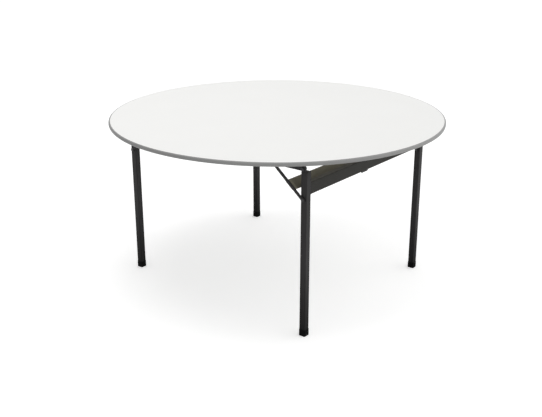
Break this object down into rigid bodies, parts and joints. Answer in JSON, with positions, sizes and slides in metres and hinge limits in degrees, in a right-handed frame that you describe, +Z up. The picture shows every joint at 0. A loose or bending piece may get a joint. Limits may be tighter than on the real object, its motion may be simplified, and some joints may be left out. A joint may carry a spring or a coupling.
{
  "type": "folding banquet table",
  "caption": "Round folding banquet table with a thin laminated top on two hinged frames of square tube legs, braced by stays that slide in rails under the top.",
  "frame": {"origin": "on the floor under the middle of the round top", "axes": "+Z up, square to the top; X is the direction in which the leg frames fold, Y runs along the leg frames"},
  "size_m": [1.4998, 1.4998, 0.75],
  "materials": {
    "white_laminate": "fine matte laminate",
    "core_board": "pressed wood board",
    "grey_edge": "satin moulded edge",
    "black_steel": "charcoal powder coat",
    "olive_steel": "dark olive brown coat",
    "zinc_steel": "dark zinc plating",
    "spring_steel": "blued spring steel",
    "black_rubber": "matte rubber"
  },
  "bodies": {
    "table_top": {"top_core": "core_board", "top_laminate": "white_laminate", "under_laminate": "white_laminate", "edge_band": "grey_edge", "rail_right_front": "black_steel", "rail_right_rear": "black_steel", "rail_left_front": "black_steel", "rail_left_rear": "black_steel", "rail_screws": "zinc_steel", "catch_screws": "zinc_steel", "catch_right": "spring_steel", "catch_left": "spring_steel", "hinge_bolts": "zinc_steel", "hinge_nuts": "zinc_steel", "hinge_spacers": "zinc_steel"},
    "leg_frame_right": {"leg_right_front": "black_steel", "lug_right_front": "black_steel", "foot_right_front": "black_rubber", "leg_right_rear": "black_steel", "lug_right_rear": "black_steel", "foot_right_rear": "black_rubber", "cross_rail_right": "black_steel", "keeper_right": "black_steel", "keeper_rivets_right": "zinc_steel", "stay_bolts_right": "zinc_steel", "stay_nuts_right": "zinc_steel", "stay_spacers_right": "zinc_steel"},
    "leg_frame_left": {"leg_left_front": "black_steel", "lug_left_front": "black_steel", "foot_left_front": "black_rubber", "leg_left_rear": "black_steel", "lug_left_rear": "black_steel", "foot_left_rear": "black_rubber", "cross_rail_left": "black_steel", "keeper_left": "black_steel", "keeper_rivets_left": "zinc_steel", "stay_bolts_left": "zinc_steel", "stay_nuts_left": "zinc_steel", "stay_spacers_left": "zinc_steel"},
    "brace_right": {"stay_right_front": "black_steel", "stay_right_rear": "black_steel", "brace_panel_right": "olive_steel", "panel_rivets_right": "zinc_steel", "guide_pins_right": "zinc_steel"},
    "brace_left": {"stay_left_front": "black_steel", "stay_left_rear": "black_steel", "brace_panel_left": "olive_steel", "panel_rivets_left": "zinc_steel", "guide_pins_left": "zinc_steel"}
  },
  "joints": [
    {"name": "leg_fold_right", "type": "hinge", "parent": "table_top", "child": "leg_frame_right", "pos_m": [0.51, -0.0355, 0.711], "axis": [0, 1, 0], "range_deg": [0, 90]},
    {"name": "leg_fold_left", "type": "hinge", "parent": "table_top", "child": "leg_frame_left", "pos_m": [-0.51, 0.0355, 0.711], "axis": [0, -1, 0], "range_deg": [0, 90]},
    {"name": "brace_fold_right", "type": "hinge", "parent": "leg_frame_right", "child": "brace_right", "pos_m": [0.51, -0.0355, 0.585], "axis": [0, -1, 0], "range_deg": [0, 126.36]},
    {"name": "brace_fold_left", "type": "hinge", "parent": "leg_frame_left", "child": "brace_left", "pos_m": [-0.51, 0.0355, 0.585], "axis": [0, 1, 0], "range_deg": [0, 126.36]}
  ],
  "couplings": [
    {"joint": "brace_fold_right", "follows": "leg_fold_right", "ratio": 1.404},
    {"joint": "brace_fold_left", "follows": "leg_fold_left", "ratio": 1.404}
  ]
}
